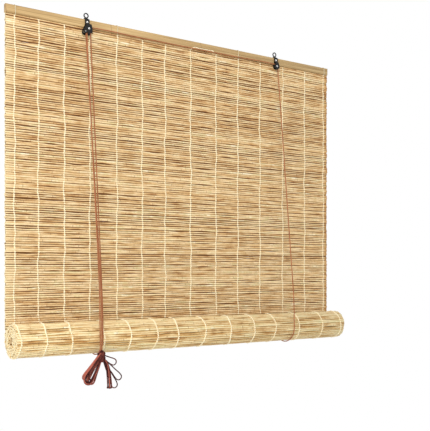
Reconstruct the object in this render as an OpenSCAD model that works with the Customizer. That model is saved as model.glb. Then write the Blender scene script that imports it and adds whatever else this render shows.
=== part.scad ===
// Reed roll-up blind: a reed mat that hangs from a bamboo head batten and is wound up in front,
// raised by two lift cords that run over pulleys to a cord lock on the left.
// The origin is midway between the two hanging eyes. +X runs along the batten, +Y to the wall.

/* [Head batten] */
// Width of the mat, its batten and its dowel
mat_w = 1200; // [900:10:1600]
// Height of the batten
batten_h = 24; // [20:1:28]
// Thickness of the batten
batten_t = 12.5; // [12:0.5:16]
// Rounding of the batten's long edges
batten_round = 1.5; // [0.5:0.25:3]

/* [Reed mat] */
// Diameter of a reed
reed_d = 6.8; // [5:0.1:7.4]
// How far neighbouring reeds are pressed into each other
reed_lap = 0.4; // [0.2:0.05:0.8]
// Height from the batten's top down to the roll's axis
drop = 927; // [700:1:1100]
// Number of light slits left between reeds
slit_count = 96; // [0:1:120]
// Height of a slit
slit_h = 0.8; // [0.4:0.1:1.2]
// Share of the space between two threads that a slit takes
slit_share = 0.7; // [0.2:0.05:0.85]

/* [Warp threads] */
// Number of threads across the mat
thread_count = 14; // [10:1:18]
// Diameter of a thread
thread_d = 2.4; // [1:0.1:2.8]
// Distance from the mat's edge to its first thread
thread_edge = 20; // [12:1:40]
// How much closer the threads stand at the left edge, as a share of their mean spacing
thread_crowding = 0.157; // [0:0.01:0.3]
// Number of threads that are tied round the batten
tie_count = 4; // [2:1:7]
// Thickness of a tie
tie_t = 1; // [0.6:0.1:1.4]

/* [Roll] */
// Radius of the roll at its outermost reed
roll_r = 51; // [46:0.5:58]
// Slack between one turn and the next
turn_slack = 0.5; // [0.4:0.1:1]
// Diameter of the dowel that the mat is wound on
dowel_d = 16; // [10:0.5:22]

/* [Hangers] */
// Distance from the middle to each hanging eye
pulley_x = 356; // [300:1:420]
// Radius of the hole in a hanging eye
eye_r = 5; // [3.5:0.25:6]
// Width of the rim round that hole
eye_rim = 3; // [2:0.25:4]
// Height of the eye's centre above the batten
eye_rise = 13; // [11:0.5:20]
// Thickness of the hanger strap
strap_t = 2; // [1.5:0.25:2.5]
// Width of the hanger strap
strap_w = 14; // [12:0.5:18]
// Width of the neck under the eye
neck_w = 9; // [6:0.5:12]
// Thickness of a front plate
plate_t = 1.5; // [1:0.25:2]
// Depth of the screw below the batten's top
screw_drop = 8.5; // [7:0.5:10]
// Radius of the screw's shank
screw_r = 1.6; // [1.2:0.1:2]
// Depth of the screw in the batten
screw_depth = 7; // [5:0.5:8]

/* [Pulleys] */
// Radius of a wheel at the middle of its cord
wheel_r = 6; // [5:0.25:7]
// Height of a wheel's flange above the middle of the cord
flange_h = 2.5; // [2:0.25:3]
// Width of a wheel
wheel_w = 5.5; // [5:0.25:7]
// Radius of an axle
axle_r = 2; // [1.5:0.1:2.5]
// Depth of the axles below the batten's top
axle_drop = 30; // [29:0.5:34]

/* [Cord lock] */
// Radius of the brake roller
brake_r = 3; // [2.5:0.25:3.5]
// Travel of the brake roller in its slots
brake_travel = 3.5; // [2:0.25:4]
// Lean of the brake slots from the vertical
brake_lean = 30; // [20:1:40]
// Radius of the brake roller's ends
trunnion_r = 1.4; // [1:0.1:1.8]
// Radius of the pin that the brake presses the cords against
jam_r = 1.8; // [1.2:0.1:2]

/* [Cords] */
// Diameter of the lift and pull cords
cord_d = 3; // [2:0.1:3.2]
// Radius of a staple's bow behind the batten
staple_r = 5; // [4.8:0.1:6]
// Diameter of a staple's wire
staple_d = 1.6; // [1:0.1:1.8]

/* [Hidden] */
$fn = 48;

// Clearances: between pieces laid against each other, round a turning axle, and round a fixed pin
fit = 0.3;
run_gap = 0.08;
pin_gap = 0.05;
lay_gap = 0.05;
side_gap = 0.4;

// Colours
reed_colour = "burlywood";
batten_colour = "tan";
thread_colour = "cornsilk";
cord_colour = "sienna";
black_steel = "#202020";
bright_steel = "silver";

// Heights down the blind
batten_top = -eye_rise;
batten_low = batten_top - batten_h;
axle_z = batten_top - axle_drop;
roll_z = batten_top - drop;

// Depths through the hardware, from the batten's face towards the room
batten_front = -batten_t / 2;
batten_back = batten_t / 2;
strap_front = batten_front - strap_t;
tab_front = strap_front - plate_t;
rear_wheel_y = strap_front - side_gap - wheel_w / 2;
front_wheel_y = rear_wheel_y - wheel_w - side_gap;
one_wheel_room = wheel_w + 2 * side_gap;
two_wheel_room = 2 * wheel_w + 3 * side_gap;

// Reeds of the hanging mat: the first lies under the batten, the last over the roll's first reed
reed_pitch = reed_d - reed_lap;
first_reed_z = batten_low - fit - reed_d / 2;
last_reed_z = roll_z + reed_d + fit;
reed_count = ceil((first_reed_z - last_reed_z) / reed_pitch) + 1;
mat_pitch = (first_reed_z - last_reed_z) / (reed_count - 1);

// The roll: a spiral of reeds whose outermost one hangs in the mat's own plane
spool_r = roll_r - reed_d / 2;
roll_y = -spool_r;
turn_pitch = reed_d + turn_slack;
core_r = dowel_d / 2 + fit + reed_d / 2;
wound_length = PI * (spool_r * spool_r - core_r * core_r) / turn_pitch;
rolled_reeds = floor(wound_length / reed_pitch);

// How far threads and cords lie outside the reeds. Round the roll they are arcs, which stand off the spiral
// by a share of its pitch
thread_y = reed_d / 2 + lay_gap + thread_d / 2;
bow_out = 0.06 * turn_pitch;
cord_off = lay_gap + bow_out + thread_d + fit + cord_d / 2;
cord_back_y = reed_d / 2 + cord_off;
sling_r = spool_r - turn_pitch / 4 + cord_back_y;
sling_y = roll_y + turn_pitch / 4;

// The lift cords leave the wheels on their right, the pull cords leave the lock's on their left
left_axle_x = -pulley_x;
left_lift_x = left_axle_x + wheel_r;
right_lift_x = pulley_x + wheel_r;
pull_x = left_axle_x - wheel_r;
flange_r = wheel_r + flange_h;
stub_z = axle_z - flange_r - 1;

// The brake roller stands beside the pull cords, the jam pin on their other side
brake_x = pull_x - cord_d / 2 - fit - brake_r;
brake_z = stub_z;
jam_x = pull_x + cord_d / 2 + fit + jam_r;
jam_z = brake_z - 2;
brake_step = [-brake_travel * sin(brake_lean), brake_travel * cos(brake_lean)];

// Plates of the hardware
tab_low = batten_top - 14;
joggle_h = 3;
plate_edge = 2;
lock_low = brake_z - brake_r - 3.5;
lock_left = brake_x + brake_step[0] - trunnion_r - plate_edge;
lock_right = left_axle_x + flange_r + plate_edge;
clip = 3;
notch_w = cord_d + 2;
notch_h = 4;
cheek_r = flange_r + plate_edge;

// Points of the two pull cords, from the foot of the lock's wheels down to the knot
front_pull_route = [[-362, -17.5, -53], [-362, -18, -60], [-362, -22, -100], [-362, -31.5, -200],
  [-362, -41, -300], [-361.5, -50.5, -400], [-361.5, -60, -500], [-361, -70, -600], [-361, -79.5, -700],
  [-360.5, -89, -800], [-360.5, -96.5, -880], [-360, -101.5, -930], [-360, -102.5, -950],
  [-360, -102.5, -970], [-360, -102.5, -986.5]];
rear_pull_route = [[-362, -11.5, -53], [-362, -12, -60], [-361.5, -16, -100], [-360.5, -26.5, -200],
  [-359.5, -36.5, -300], [-358.5, -47, -400], [-357.5, -57.5, -500], [-357, -67.5, -600], [-356.5, -78, -700],
  [-356, -88, -800], [-355.5, -96.5, -880], [-355, -101.5, -930], [-355, -102.5, -950],
  [-355, -102.5, -970], [-355, -102.5, -986.5]];

// The knot of the pull cords, and the round ends of the two hanks that hang from it
knot_at = [-357.5, -102.5, -998];
knot_r = 8;
knot_wraps = 7;
knot_step = cord_d + 0.2;
knot_half = (knot_wraps - 1) * knot_step / 2 + cord_d / 2;
hank_top = knot_at[2] - knot_half - fit;
hank_neck = 8.5;
bow_t = 14;
tail_t = 12;
bow_end = [-392, -1056, 19];
tail_end = [-324, -1068, 20];

// Where thread i crosses the mat, and how wide the bay to its right is
function thread_x(i) = let (t = i / (thread_count - 1))
  -mat_w / 2 + thread_edge + (mat_w - 2 * thread_edge) * t * (1 - thread_crowding * (1 - t));
function bay_w(i) = thread_x(i + 1) - thread_x(i);

// Angle round the roll, from its back downwards, at a length s along the mat from its outermost reed
function roll_angle(s) = let (shrink = turn_pitch / 360)
  (spool_r - sqrt(spool_r * spool_r - 2 * shrink * s * 180 / PI)) / shrink;
function roll_point(a) = (spool_r - turn_pitch * a / 360) * [cos(a), sin(a)];

// Draws in a plane across the blind: first axis to the wall, second axis down, depth along the batten
module across(y, z, x = 0)
  multmatrix([[0, 0, -1, x], [1, 0, 0, y], [0, -1, 0, z], [0, 0, 0, 1]]) children();

// A flat plate in the plane of the blind, from y towards the room
module plate(y, t)
  translate([0, y, 0]) rotate([90, 0, 0]) linear_extrude(t) children();

// A round bar from y towards the room
module bar(x, z, y, r, l)
  translate([x, y, z]) rotate([90, 0, 0]) cylinder(r = r, h = l);

// A straight stretch of cord between two points
module strand(from, to) {
  v = to - from;
  l = norm(v);
  translate(from) rotate([0, acos(v[2] / l), atan2(v[1], v[0])]) cylinder(d = cord_d, h = l);
}

// An arc of cord or thread across the blind, from angle a to angle b
module bent(y, z, x, r, d, a, b)
  across(y, z, x) rotate([0, 0, a]) rotate_extrude(angle = b - a) translate([r, 0]) circle(d = d);

// An arc of cord on a wheel, in the plane of the blind, from angle a to angle b
module on_wheel(x, y, a, b)
  translate([x, y, axle_z]) rotate([90, 0, 0]) rotate([0, 0, a])
    rotate_extrude(angle = b - a) translate([wheel_r, 0]) circle(d = cord_d);

// A rectangle of size [w, h] round the origin with round corners
module round_rect(w, h, r) {
  square([w - 2 * r, h], center = true);
  square([w, h - 2 * r], center = true);
  for (sx = [-1, 1], sy = [-1, 1]) translate([sx * (w / 2 - r), sy * (h / 2 - r)]) circle(r = r);
}

// A flat outline with a round end at each of two points, for a hank
module tapered(a, ra, b, rb) {
  v = b - a;
  l = norm(v);
  lean = acos((ra - rb) / l);
  across_dir = [for (s = [-1, 1]) let (t = atan2(v[1], v[0]) + s * lean) [cos(t), sin(t)]];
  translate(a) circle(r = ra);
  translate(b) circle(r = rb);
  polygon([a + ra * across_dir[0], b + rb * across_dir[0], b + rb * across_dir[1], a + ra * across_dir[1]]);
}

// A tube of eight sides swept along a list of points
sweep_sides = 8;
module swept(route) {
  n = len(route);
  function along(i) = let (v = route[min(i + 1, n - 1)] - route[max(i - 1, 0)]) v / norm(v);
  function ring(i) = let (d = along(i), u = cross([1, 0, 0], d), e = u / norm(u), f = cross(d, e))
    [for (k = [0 : sweep_sides - 1]) let (t = 360 * k / sweep_sides)
      route[i] + cord_d / 2 * (e * cos(t) + f * sin(t))];
  points = [for (i = [0 : n - 1]) each ring(i)];
  sides = [for (i = [0 : n - 2], k = [0 : sweep_sides - 1]) let (m = (k + 1) % sweep_sides, o = i * sweep_sides)
    each [[o + k, o + k + sweep_sides, o + m], [o + m, o + k + sweep_sides, o + m + sweep_sides]]];
  ends = [[for (k = [0 : sweep_sides - 1]) k], [for (k = [sweep_sides - 1 : -1 : 0]) (n - 1) * sweep_sides + k]];
  polyhedron(points, concat(sides, ends));
}

// Batten and dowel

module head_batten() color(batten_colour) difference() {
  across(0, batten_top - batten_h / 2) linear_extrude(mat_w, center = true)
    round_rect(batten_t, batten_h, batten_round);
  for (x = [left_axle_x, pulley_x])
    bar(x, batten_top - screw_drop, batten_front + screw_depth + fit, screw_r + pin_gap, screw_depth + 1);
  for (x = [left_lift_x, right_lift_x], s = [-1, 1])
    bar(x + s * staple_r, batten_top - batten_h / 2, batten_back + 1, staple_d / 2 + pin_gap, staple_leg + 1 + fit);
}

// Dowel at the mat's lower end, at the heart of the roll
module bottom_dowel() color(batten_colour)
  across(roll_y, roll_z) cylinder(d = dowel_d, h = mat_w, center = true);

// Reeds and threads

module reed_mat() color(reed_colour) difference() {
  across(0, first_reed_z) linear_extrude(mat_w, center = true)
    for (i = [0 : reed_count - 1]) translate([0, i * mat_pitch]) circle(d = reed_d, $fn = 24);
  if (slit_count > 0) for (k = [0 : slit_count - 1]) {
    row = 1 + (k * 37) % (reed_count - 2);
    bay = (k * 5) % (thread_count - 1);
    translate([thread_x(bay) + bay_w(bay) / 2, 0, first_reed_z - (row + 0.5) * mat_pitch])
      cube([slit_share * bay_w(bay), reed_d, slit_h], center = true);
  }
}

module mat_threads() color(thread_colour) {
  top = batten_low - fit;
  front_low = roll_z + spool_r * sin(22);
  back_low = last_reed_z - reed_d / 2;
  for (i = [0 : thread_count - 1]) {
    translate([thread_x(i), -thread_y, front_low]) cylinder(d = thread_d, h = top - front_low);
    translate([thread_x(i), thread_y, back_low]) cylinder(d = thread_d, h = top - back_low);
  }
}

module batten_ties() color(thread_colour)
  for (k = [0 : tie_count - 1]) {
    inner_t = batten_t + 2 * lay_gap;
    translate([thread_x(round(k * (thread_count - 1) / (tie_count - 1))), 0, batten_low])
      rotate([90, 0, 90]) linear_extrude(thread_d, center = true) difference() {
        translate([-inner_t / 2 - tie_t, 0]) square([inner_t + 2 * tie_t, batten_h + lay_gap + tie_t]);
        translate([-inner_t / 2, -1]) square([inner_t, batten_h + lay_gap + 1]);
      }
  }

module reed_roll() color(reed_colour)
  across(roll_y, roll_z) linear_extrude(mat_w, center = true)
    for (i = [0 : rolled_reeds]) translate(roll_point(roll_angle(i * reed_pitch))) circle(d = reed_d, $fn = 24);

// Each thread follows the outermost turn: a lower half round one centre, an upper part round another
module roll_threads() color(thread_colour)
  for (i = [0 : thread_count - 1]) {
    lower_r = spool_r - turn_pitch / 4 + thread_y + bow_out;
    bent(sling_y, roll_z, thread_x(i), lower_r, thread_d, 5, 180);
    bent(sling_y - turn_pitch / 2, roll_z, thread_x(i), lower_r - turn_pitch / 2, thread_d, 180, 325);
  }

// Hangers and pulleys

// Folded strap: up the batten's face, back over its top, and up again to the hanging eye
module hanger(x) {
  fold = strap_t / 2;
  difference() {
    union() {
      plate(batten_front, strap_t) {
        translate([x - strap_w / 2, tab_low - joggle_h]) square([strap_w, batten_top - tab_low + joggle_h]);
        children();
      }
      translate([x, 0, 0]) rotate([90, 0, 90]) linear_extrude(strap_w, center = true) {
        intersection() {
          translate([batten_front, batten_top]) circle(r = strap_t);
          translate([strap_front, batten_top]) square(strap_t);
        }
        translate([batten_front, batten_top]) square([batten_t / 2 - fold, strap_t]);
        intersection() {
          translate([-fold, batten_top + strap_t]) circle(r = strap_t);
          translate([-fold, batten_top]) square(strap_t);
        }
      }
      plate(fold, strap_t) {
        translate([x - strap_w / 2, batten_top + strap_t]) square([strap_w, eye_rim]);
        translate([x - neck_w / 2, batten_top + strap_t]) square([neck_w, -batten_top - strap_t]);
        translate([x, 0]) circle(r = eye_r + eye_rim);
      }
    }
    bar(x, 0, strap_t, eye_r, 2 * strap_t);
    bar(x, batten_top - screw_drop, batten_front + 1, screw_r + pin_gap, strap_t + 2);
    bar(x, axle_z, batten_front + 1, axle_r + pin_gap, strap_t + 2);
  }
}

// Front plate: a tab on the strap, a joggle that clears the wheels, and a wall in front of them
module front_plate(x, room) {
  wall_y = strap_front - room;
  difference() {
    union() {
      plate(strap_front, plate_t)
        translate([x - strap_w / 2, tab_low]) square([strap_w, batten_top - tab_low - plate_edge]);
      translate([x, 0, 0]) rotate([90, 0, 90]) linear_extrude(strap_w, center = true)
        polygon([[strap_front, tab_low], [tab_front, tab_low], [wall_y - plate_t, tab_low - joggle_h],
          [wall_y, tab_low - joggle_h]]);
      plate(wall_y, plate_t) children();
    }
    bar(x, batten_top - screw_drop, strap_front + 1, screw_r + pin_gap, plate_t + 2);
    bar(x, axle_z, wall_y + 1, axle_r + pin_gap, plate_t + 2);
  }
}

// Outline of the lock's cheeks below the joggle
module lock_outline() polygon([
  [left_axle_x - strap_w / 2, tab_low - joggle_h], [left_axle_x + strap_w / 2, tab_low - joggle_h],
  [lock_right, axle_z + clip], [lock_right, lock_low + clip], [lock_right - clip, lock_low],
  [lock_left + clip, lock_low], [lock_left, lock_low + clip], [lock_left, brake_z + brake_step[1] + clip]]);

// Outline of the right pulley's cheeks: a strap with a round end
module right_outline() {
  translate([pulley_x - strap_w / 2, axle_z]) square([strap_w, tab_low - joggle_h - axle_z]);
  translate([pulley_x, axle_z]) circle(r = cheek_r);
}

// Slots that guide the ends of the brake roller, and the hole of the jam pin
module brake_slots() {
  slot_r = trunnion_r + pin_gap;
  far = [brake_x, brake_z] + brake_step;
  translate([brake_x, brake_z]) circle(r = slot_r);
  translate(far) circle(r = slot_r);
  translate([brake_x, brake_z]) rotate(90 + brake_lean) translate([0, -slot_r]) square([brake_travel, 2 * slot_r]);
  translate([jam_x, jam_z]) circle(r = jam_r + pin_gap);
}

module left_hanger() color(black_steel)
  hanger(left_axle_x) difference() {
    lock_outline();
    brake_slots();
  }

module lock_front_plate() color(black_steel)
  front_plate(left_axle_x, two_wheel_room) difference() {
    lock_outline();
    brake_slots();
    for (x = [pull_x, left_lift_x]) translate([x - notch_w / 2, lock_low - 1]) square([notch_w, notch_h + 1]);
  }

module right_hanger() color(black_steel) hanger(pulley_x) right_outline();

module right_front_plate() color(black_steel) front_plate(pulley_x, one_wheel_room) right_outline();

// Grooved wheel, turning on its axle
module wheel(x, y) {
  groove_r = cord_d / 2 + fit;
  translate([x, y, axle_z]) rotate([90, 0, 0]) rotate_extrude() difference() {
    translate([axle_r + run_gap, -wheel_w / 2]) square([flange_r - axle_r - run_gap, wheel_w]);
    translate([wheel_r, 0]) circle(r = groove_r);
    translate([wheel_r, -groove_r]) square([flange_h + 1, 2 * groove_r]);
  }
}

module lock_rear_wheel() color(black_steel) wheel(left_axle_x, rear_wheel_y);

module lock_front_wheel() color(black_steel) wheel(left_axle_x, front_wheel_y);

module right_wheel() color(black_steel) wheel(pulley_x, rear_wheel_y);

// Domed head that stands on a plate at y, towards the room
head_h = 1.6;
module dome(x, z, y, r) {
  ball_r = (r * r + head_h * head_h) / (2 * head_h);
  translate([x, y, z]) rotate([90, 0, 0]) intersection() {
    translate([0, 0, head_h - ball_r]) sphere(r = ball_r);
    cylinder(r = r, h = head_h);
  }
}

// Rivet through both cheeks, flush at the back and domed in front
module axle(x, room) {
  face = strap_front - room - plate_t;
  bar(x, axle_z, batten_front, axle_r, batten_front - face);
  dome(x, axle_z, face, axle_r + 1.4);
}

module lock_axle() color(bright_steel) axle(left_axle_x, two_wheel_room);

module right_axle() color(bright_steel) axle(pulley_x, one_wheel_room);

// Round-head screw with a cross slot, through the tab and the strap into the batten
module screw(x) {
  z = batten_top - screw_drop;
  slot = [4, 1.2, 0.8];
  difference() {
    union() {
      bar(x, z, batten_front + screw_depth, screw_r, screw_depth + strap_t + plate_t);
      dome(x, z, tab_front, screw_r + 1.9);
    }
    for (turn = [0, 90]) translate([x, tab_front - head_h, z]) rotate([0, turn, 0])
      cube([slot[0], slot[1], slot[2]], center = true);
  }
}

module left_screw() color(bright_steel) screw(left_axle_x);

module right_screw() color(bright_steel) screw(pulley_x);

// Knurled roller with two plain ends that ride in the slots
module brake_roller() color(bright_steel) {
  teeth = 14;
  length = two_wheel_room - 2 * side_gap;
  end = strap_t + side_gap;
  translate([brake_x, strap_front - side_gap, brake_z]) rotate([90, 0, 0]) linear_extrude(length)
    polygon([for (k = [0 : 2 * teeth - 1]) (brake_r - (k % 2) * 0.4) * [cos(180 * k / teeth), sin(180 * k / teeth)]]);
  bar(brake_x, brake_z, strap_front + strap_t, trunnion_r, length + 2 * end - (strap_t - plate_t));
}

module jam_pin() color(black_steel) bar(jam_x, jam_z, batten_front, jam_r, strap_t + two_wheel_room + plate_t);

// Cords and what holds them

// Staple in the batten's back: two legs and a bow that stands out behind
staple_leg = 6;
module staple(x) {
  z = batten_top - batten_h / 2;
  for (s = [-1, 1]) bar(x + s * staple_r, z, batten_back, staple_d / 2, staple_leg);
  translate([x, batten_back, z]) rotate_extrude(angle = 180) translate([staple_r, 0]) circle(d = staple_d);
}

module left_staple() color(bright_steel) staple(left_lift_x);

module right_staple() color(bright_steel) staple(right_lift_x);

// Loop of cord round the staple's bow, drawn tight by a knot under it
loop_r = staple_d / 2 + lay_gap + cord_d / 2;
knot_ball = 3.4;
anchor_y = batten_back + staple_r;
anchor_ball_z = batten_top - batten_h / 2 - loop_r - cord_d / 2 - knot_ball / 2;
module anchor_knot(x) {
  bent(anchor_y, batten_top - batten_h / 2, x, loop_r, cord_d, 0, 360);
  translate([x, anchor_y, anchor_ball_z]) sphere(r = knot_ball);
}

module left_anchor_knot() color(cord_colour) anchor_knot(left_lift_x);

module right_anchor_knot() color(cord_colour) anchor_knot(right_lift_x);

// Back stretch: from the knot down behind the mat to the sling
module back_cord(x) strand([x, anchor_y, anchor_ball_z - knot_ball - fit], [x, cord_back_y, roll_z + fit]);

module left_back_cord() color(cord_colour) back_cord(left_lift_x);

module right_back_cord() color(cord_colour) back_cord(right_lift_x);

// Sling: the stretch that passes under the roll and carries it
module sling(x) bent(sling_y, roll_z, x, sling_r, cord_d, 0, 180);

module left_sling() color(cord_colour) sling(left_lift_x);

module right_sling() color(cord_colour) sling(right_lift_x);

// Front stretch: from the roll's front up to the foot of a wheel
module front_cord(x, y) strand([x, sling_y - sling_r, roll_z + fit], [x, y, stub_z - fit]);

module left_front_cord() color(cord_colour) front_cord(left_lift_x, front_wheel_y);

module right_front_cord() color(cord_colour) front_cord(right_lift_x, rear_wheel_y);

// Upright stretch beside a wheel
module stub(x, y) strand([x, y, stub_z], [x, y, axle_z]);

// Over the lock's front wheel
module left_wheel_cord() color(cord_colour) {
  stub(left_lift_x, front_wheel_y);
  on_wheel(left_axle_x, front_wheel_y, 0, 180);
  stub(pull_x, front_wheel_y);
}

// Over the right wheel, along the batten, and over the lock's rear wheel
module cross_cord() color(cord_colour) {
  stub(right_lift_x, rear_wheel_y);
  on_wheel(pulley_x, rear_wheel_y, 0, 90);
  strand([left_axle_x, rear_wheel_y, axle_z + wheel_r], [pulley_x, rear_wheel_y, axle_z + wheel_r]);
  on_wheel(left_axle_x, rear_wheel_y, 90, 180);
  stub(pull_x, rear_wheel_y);
}

module front_pull_cord() color(cord_colour) swept(front_pull_route);

module rear_pull_cord() color(cord_colour) swept(rear_pull_route);

// Knot of the pull cords: a core with the cord wrapped round it
module pull_knot() color(cord_colour) translate(knot_at) rotate_extrude() {
  translate([0, -knot_half]) square([knot_r, 2 * knot_half]);
  for (k = [0 : knot_wraps - 1])
    translate([knot_r, (k - (knot_wraps - 1) / 2) * knot_step]) circle(d = cord_d);
}

// Hanks that hang from the knot: the bow to the left, the tails to the right
module hank(side, end, t)
  plate(knot_at[1] + t / 2, t)
    tapered([knot_at[0] + side * (hank_neck + fit), hank_top - hank_neck], hank_neck, [end[0], end[1]], end[2]);

module bow_loops() color(cord_colour) hank(-1, bow_end, bow_t);

module tail_loops() color(cord_colour) hank(1, tail_end, tail_t);

head_batten();
bottom_dowel();
reed_mat();
mat_threads();
batten_ties();
reed_roll();
roll_threads();
left_hanger();
lock_front_plate();
lock_rear_wheel();
lock_front_wheel();
lock_axle();
brake_roller();
jam_pin();
left_screw();
right_hanger();
right_front_plate();
right_wheel();
right_axle();
right_screw();
left_staple();
right_staple();
left_anchor_knot();
right_anchor_knot();
left_back_cord();
right_back_cord();
left_sling();
right_sling();
left_front_cord();
right_front_cord();
left_wheel_cord();
cross_cord();
front_pull_cord();
rear_pull_cord();
pull_knot();
bow_loops();
tail_loops();
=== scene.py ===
import math

import bpy
import numpy as np
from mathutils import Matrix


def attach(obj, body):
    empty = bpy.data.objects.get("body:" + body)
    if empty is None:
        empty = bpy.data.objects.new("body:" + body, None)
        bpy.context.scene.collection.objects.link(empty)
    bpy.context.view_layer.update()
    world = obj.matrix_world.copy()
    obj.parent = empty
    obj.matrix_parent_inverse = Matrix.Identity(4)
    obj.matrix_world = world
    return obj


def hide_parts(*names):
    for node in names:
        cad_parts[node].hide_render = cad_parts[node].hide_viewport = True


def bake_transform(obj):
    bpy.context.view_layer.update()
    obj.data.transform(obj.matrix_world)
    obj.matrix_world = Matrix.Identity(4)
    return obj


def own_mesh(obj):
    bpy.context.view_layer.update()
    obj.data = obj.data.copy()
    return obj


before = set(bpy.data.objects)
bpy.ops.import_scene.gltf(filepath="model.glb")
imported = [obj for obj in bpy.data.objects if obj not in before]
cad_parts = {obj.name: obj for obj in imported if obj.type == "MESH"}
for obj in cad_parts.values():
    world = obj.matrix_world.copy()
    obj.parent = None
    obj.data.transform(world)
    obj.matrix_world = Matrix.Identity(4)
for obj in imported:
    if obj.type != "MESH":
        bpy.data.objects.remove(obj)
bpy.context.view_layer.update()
scene = bpy.context.scene
rng = np.random.default_rng(11)

# Sizes and places as in the part's source, in metres
MAT_W = 1.2
BATTEN_TOP, BATTEN_T = -0.013, 0.0125
REED_R = 0.0034
FIRST_REED_Z, MAT_PITCH, REED_COUNT = -0.0407, 0.006373, 141
ROLL_Y, ROLL_Z, SPOOL_R, TURN = -0.0476, -0.94, 0.0476, 0.0073
ROLL_PITCH, ROLLED = 0.0064, 143
CORD_D = 0.003
AXLE_Z, WHEEL_R, STUB_Z = -0.043, 0.006, -0.0525
REAR_Y, FRONT_Y = -0.0114, -0.0173
LEFT_X, RIGHT_X, LEFT_LIFT, RIGHT_LIFT = -0.356, 0.356, -0.350, 0.362
PULL_X, PULL_TOP = -0.362, -0.053
SLING_Y, SLING_R = -0.045775, 0.0531
BACK_Y = SLING_Y + SLING_R
ANCHOR_Y, ANCHOR_TOP, STAPLE_Z, ANCHOR_KNOT_Z = 0.01125, -0.0342, -0.025, -0.0310
KNOT = np.array([-0.3575, -0.1025, -0.998])
TRAVEL = 0.72

# Warp threads: their places, each moved along X to where the photo has it, and their yarn
THREAD_SHIFT = (.007, 0, 0, 0, .006, .008, .003, .009, .016, .012, .010, .013, .014, .002)
THREADS = np.array([-0.58 + 1.16 * t * (1 - 0.157 * (1 - t)) + d
                    for t, d in zip(np.linspace(0, 1, len(THREAD_SHIFT)), THREAD_SHIFT)])
BAYS = len(THREADS) - 1
YARN_W, YARN_T = 0.0052, 0.0023
YARN_OFF, YARN_BESIDE, YARN_CROSS = 0.0009, 0.0003, 0.0006

# Reeds: points round and along them, joints, the hollow in a cut end, and the gaps between reeds
REED_SIDES, THIN_SIDES = 8, 6
REED_RINGS, THIN_RINGS = 78, 26
FIRST_JOINT, NEXT_JOINT, LAST_JOINT = (0.03, 0.22), (0.13, 0.27), 0.03
JOINT_RING, JOINT_NEAR, JOINT_SWELL = 0.0018, 0.001, 0.09
BORE, BORE_DEPTH = 0.32, 0.006
GAP_CHANCE, LONG_GAP_CHANCE, GAP_THINS = 0.4, 0.22, 0.17
# How dark the painted shade in the creases is: under a mat reed, in a gap, on top of a reed, and
# in a gap of the roll
UNDER_SHADE, GAP_SHADE, TOP_SHADE, ROLL_GAP_SHADE = 0.25, 0.65, 0.12, 0.5

# The photo's mat is dark along its right edge and pale along its left one: where each starts,
# over what width, and how strong it is
DARK_FROM, DARK_OVER, DARK_SHARE = 0.586, 0.009, 0.35
PALE_FROM, PALE_OVER, PALE_SHARE = 0.571, 0.02, 0.5

# Below SPLIT_Z the mat gathers as the roll goes up.
SPLIT_Z = -0.2032

# Pull cords: an upper piece that shortens, a middle one and a lower one that lap, and the way to
# the knot as (y, z)
PULL_SPLIT = -0.9525
MIDDLE_TOP, MIDDLE_LOW, LOWER_TOP = -0.9505, -0.9645, -0.9625
PULL_DRIFT = 0.86
FOOT = [(-.1018, -.93), (-.1025, -.95), (-.1025, -.97), (-.1025, -.9865)]
FRONT_SEED, REAR_SEED = 0.31, 0.77

# Cords: distance between points, length of one lay, height of the strands' ridges, and the length
# over which the colour drifts. TONE_STEP turns a cord's number into its tone on the red tassel,
# which stands partly for the cord's own colour and partly for painted light: pale salmon tones
# are painted highlights and dark ones painted shade
CORD_STEP, FINE_STEP = 0.0015, 0.0012
CORD_LAY, STRAND_RIDGE, DRIFT_LENGTH = 0.0095, 1.26, 0.05
TONE_STEP = 9.7


# Camera, light and floor

CAMERA_AT = (-1.3121, -2.0485, -0.7478)
CAMERA_YAW, CAMERA_LENS, CAMERA_SHIFT = 34.675, 63.30, 0.1264
AMBIENT = 0.66
FLOOR_Z, FLOOR_HALF = -2.6, 4.2
WHITE = (1, 1, 1, 1)

camera = bpy.data.objects.new("camera", bpy.data.cameras.new("camera"))
scene.collection.objects.link(camera)
camera.location = CAMERA_AT
camera.rotation_euler = (math.pi / 2, 0, -math.radians(CAMERA_YAW))
camera.data.sensor_width = 36
camera.data.lens = CAMERA_LENS
camera.data.shift_y = CAMERA_SHIFT
camera.data.clip_end = 60
scene.camera = camera
scene.view_settings.view_transform = "Standard"


def lin(c):
    """Linear colour from one written in 0 to 255."""
    return tuple(v / 3294.6 if v <= 10.3 else ((v / 255 + 0.055) / 1.055) ** 2.4 for v in c)


def rgba(c):
    return (*lin(c), 1.0)


def add(nt, kind, ins=(), **props):
    """Adds a shader node, sets or links its inputs, and returns its outputs."""
    n = nt.nodes.new("ShaderNode" + kind)
    for k, v in props.items():
        setattr(n, k, v)
    for k, v in dict(ins).items():
        if isinstance(v, bpy.types.NodeSocket):
            nt.links.new(v, n.inputs[k])
        else:
            n.inputs[k].default_value = v
    return n.outputs


def calc(nt, op, a, b=0.0, c=0.0):
    return add(nt, "Math", {0: a, 1: b, 2: c}, operation=op)[0]


def blend_colour(nt, fac, a, b, how="MIX"):
    return add(nt, "Mix", {0: fac, 6: a, 7: b}, data_type="RGBA", blend_type=how)[2]


def times(nt, a, b):
    return blend_colour(nt, 1.0, a, b, "MULTIPLY")


def ramp(nt, fac, stops):
    n = nt.nodes.new("ShaderNodeValToRGB")
    nt.links.new(fac, n.inputs[0])
    e = n.color_ramp.elements
    e[0].position, e[0].color = stops[0][0], rgba(stops[0][1])
    e[1].position, e[1].color = stops[-1][0], rgba(stops[-1][1])
    for p, c in stops[1:-1]:
        e.new(p).color = rgba(c)
    return n.outputs[0]


def noise(nt, vector, scale, detail=2.0, rough=0.5):
    ins = {"Vector": vector, "Scale": scale, "Detail": detail, "Roughness": rough}
    return add(nt, "TexNoise", ins)[0]


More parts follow.
